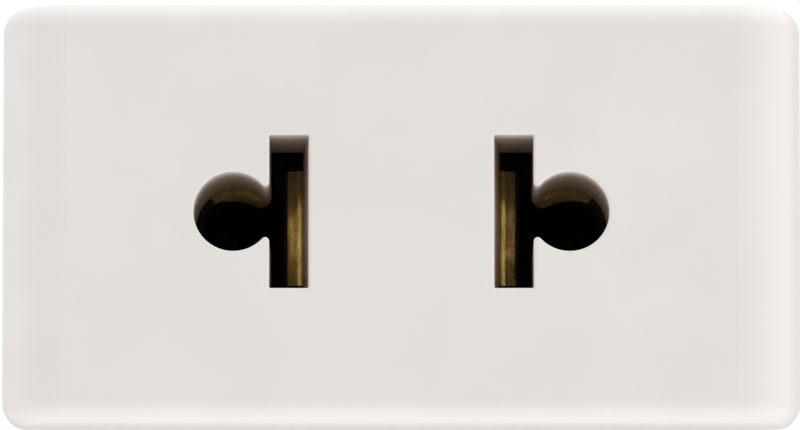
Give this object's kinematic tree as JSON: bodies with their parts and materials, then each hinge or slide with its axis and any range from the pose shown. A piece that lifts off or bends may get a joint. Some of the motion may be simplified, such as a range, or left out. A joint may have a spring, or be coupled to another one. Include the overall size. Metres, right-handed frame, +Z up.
{
  "type": "socket module",
  "caption": "White wall socket insert with keyhole apertures for flat blades or round pins, brass spring contacts, a dark rear base and screw terminals; snaps into a strap.",
  "frame": {"origin": "centre of the front face, on the face plane, midway between the two apertures", "axes": "+X to the right seen from the front, +Z up as mounted on a wall, -Y out of the face"},
  "size_m": [0.0452, 0.0286, 0.0238],
  "materials": {
    "cover_white": "satin",
    "base_black": "matte",
    "contact_brass": "rolled",
    "bar_brass": "rolled",
    "plated_steel": "zinc plated"
  },
  "bodies": {
    "root": {"front_cover": "cover_white", "rear_base": "base_black", "contact_clip_left": "contact_brass", "contact_clip_right": "contact_brass", "terminal_bar_left": "bar_brass", "terminal_bar_right": "bar_brass", "contact_rivet_left": "bar_brass", "contact_rivet_right": "bar_brass", "terminal_screw_left_upper": "plated_steel", "wire_clamp_left_upper": "plated_steel", "terminal_screw_left_lower": "plated_steel", "wire_clamp_left_lower": "plated_steel", "terminal_screw_right_upper": "plated_steel", "wire_clamp_right_upper": "plated_steel", "terminal_screw_right_lower": "plated_steel", "wire_clamp_right_lower": "plated_steel"}
  },
  "joints": []
}
